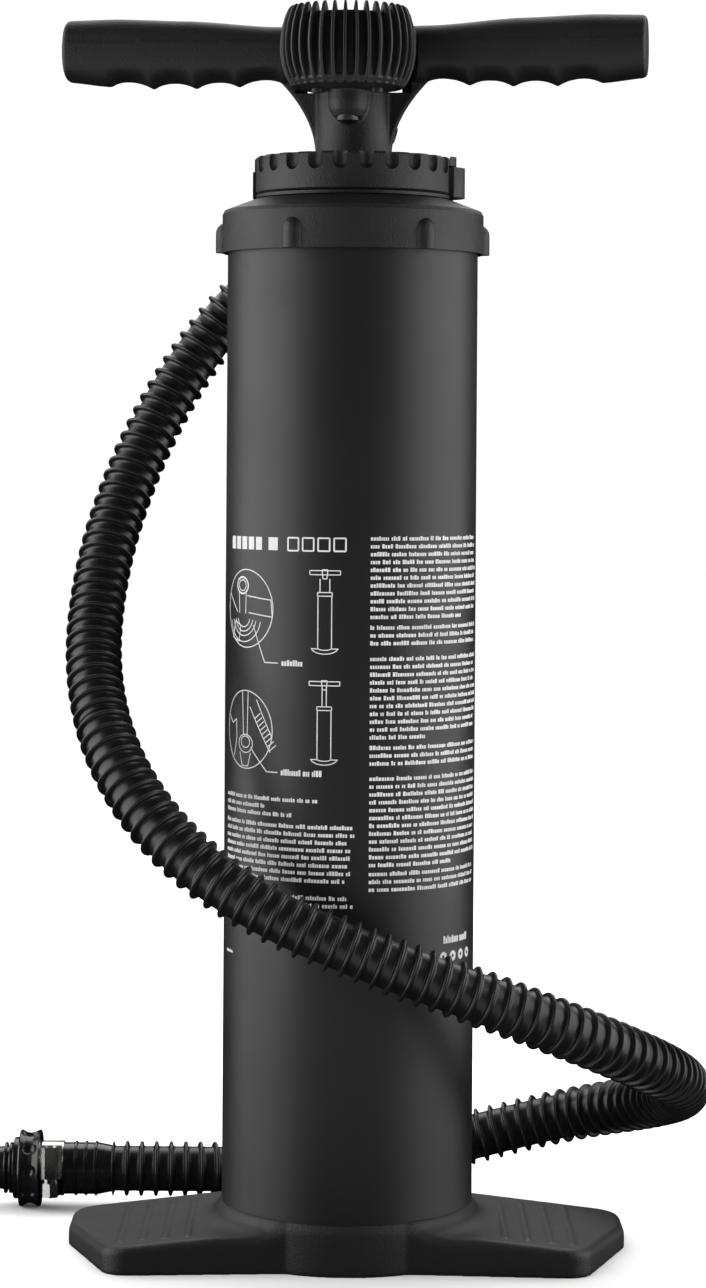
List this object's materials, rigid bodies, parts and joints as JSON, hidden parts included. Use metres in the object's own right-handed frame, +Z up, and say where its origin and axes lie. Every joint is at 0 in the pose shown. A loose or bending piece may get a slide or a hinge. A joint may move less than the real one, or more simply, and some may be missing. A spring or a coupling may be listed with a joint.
{
  "type": "dual barrel hand air pump",
  "caption": "Upright hand air pump with a T-handle, gauge, nested barrels on a winged foot and a ribbed hose with a valve adapter.",
  "frame": {"origin": "on the floor under the foot, on the barrels' common axis", "axes": "+Z up along the barrels' axis, +X along the foot towards its right wing, -Y is the front"},
  "size_m": [0.3689, 0.212, 0.5635],
  "materials": {
    "moulded_black": "fine spark texture",
    "barrel_black": "satin",
    "piston_plastic": "satin",
    "boot_rubber": "matte",
    "seal_rubber": "matte",
    "hose_black": "semi-gloss",
    "clamp_steel": "bright stainless",
    "steel": "zinc plated",
    "rod_aluminium": "drawn tube",
    "gauge_brass": "machined",
    "gauge_black": "satin",
    "dial_white": "printed",
    "needle_red": "painted",
    "lens_clear": "clear"
  },
  "bodies": {
    "main_barrel": {"foot": "moulded_black", "foot_gasket": "seal_rubber", "outer_barrel": "barrel_black", "outer_cap": "moulded_black", "outer_cap_gasket": "seal_rubber", "outer_cap_bush": "piston_plastic", "outer_cap_wiper": "seal_rubber", "hose_lower": "hose_black", "lower_cuff": "hose_black", "lower_clamp_band": "clamp_steel", "lower_clamp_housing": "clamp_steel", "lower_clamp_screw": "clamp_steel", "adapter_body": "moulded_black", "adapter_nozzle": "moulded_black"},
    "booster": {"booster_barrel": "barrel_black", "large_piston": "piston_plastic", "large_piston_seal": "seal_rubber", "transfer_valve_screw": "steel", "ring_cap": "moulded_black", "ring_cap_gasket": "seal_rubber", "rod_bush": "piston_plastic", "rod_wiper": "seal_rubber"},
    "handle": {"small_piston": "piston_plastic", "small_piston_seal": "seal_rubber", "rod_snap_ring": "steel", "outlet_valve_spring": "steel", "piston_rod": "rod_aluminium", "handle_lower_shell": "moulded_black", "handle_upper_shell": "moulded_black", "gauge_case": "gauge_black", "gauge_boot": "boot_rubber", "gauge_movement": "gauge_brass", "gauge_dial": "dial_white", "gauge_lens": "lens_clear", "gauge_bezel": "gauge_black", "gauge_screws": "steel", "elbow_seal": "seal_rubber", "elbow": "moulded_black", "upper_cuff": "hose_black", "upper_clamp_band": "clamp_steel", "upper_clamp_housing": "clamp_steel", "upper_clamp_screw": "clamp_steel", "hose_upper": "hose_black"},
    "needle": {"gauge_needle": "needle_red"},
    "outlet_valve": {"outlet_valve_disc": "seal_rubber"},
    "transfer_valve": {"transfer_valve_disc": "seal_rubber"},
    "booster_catch": {"booster_button": "moulded_black"},
    "air_max_catch": {"air_max_slider": "moulded_black"},
    "wheel": {"adapter_wheel": "moulded_black"}
  },
  "joints": [
    {"name": "booster_slide", "type": "slide", "parent": "main_barrel", "child": "booster", "axis": [0, 0, 1], "range_m": [0, 0.4]},
    {"name": "rod_slide", "type": "slide", "parent": "booster", "child": "handle", "axis": [0, 0, 1], "range_m": [0, 0.4]},
    {"name": "needle_turn", "type": "hinge", "parent": "handle", "child": "needle", "pos_m": [-0.00278, -0.0198, 0.5538], "axis": [0, 0, -1], "range_deg": [0, 270]},
    {"name": "outlet_valve_lift", "type": "slide", "parent": "handle", "child": "outlet_valve", "axis": [0, 0, 1], "range_m": [0, 0.003], "stiffness_N_per_m": 60, "deforming": ["outlet_valve_spring"]},
    {"name": "transfer_valve_lift", "type": "slide", "parent": "booster", "child": "transfer_valve", "axis": [0, 0, 1], "range_m": [0, 0.0035]},
    {"name": "booster_button_press", "type": "slide", "parent": "booster", "child": "booster_catch", "axis": [-1, 0, 0], "range_m": [0, 0.002], "stiffness_N_per_m": 300},
    {"name": "air_max_press", "type": "slide", "parent": "main_barrel", "child": "air_max_catch", "axis": [-1, 0, 0], "range_m": [0, 0.0018], "stiffness_N_per_m": 300},
    {"name": "wheel_turn", "type": "hinge", "parent": "main_barrel", "child": "wheel", "pos_m": [-0.1518, 0.083, 0.0182], "axis": [-1, 0, 0], "range_deg": [0, 90]}
  ]
}
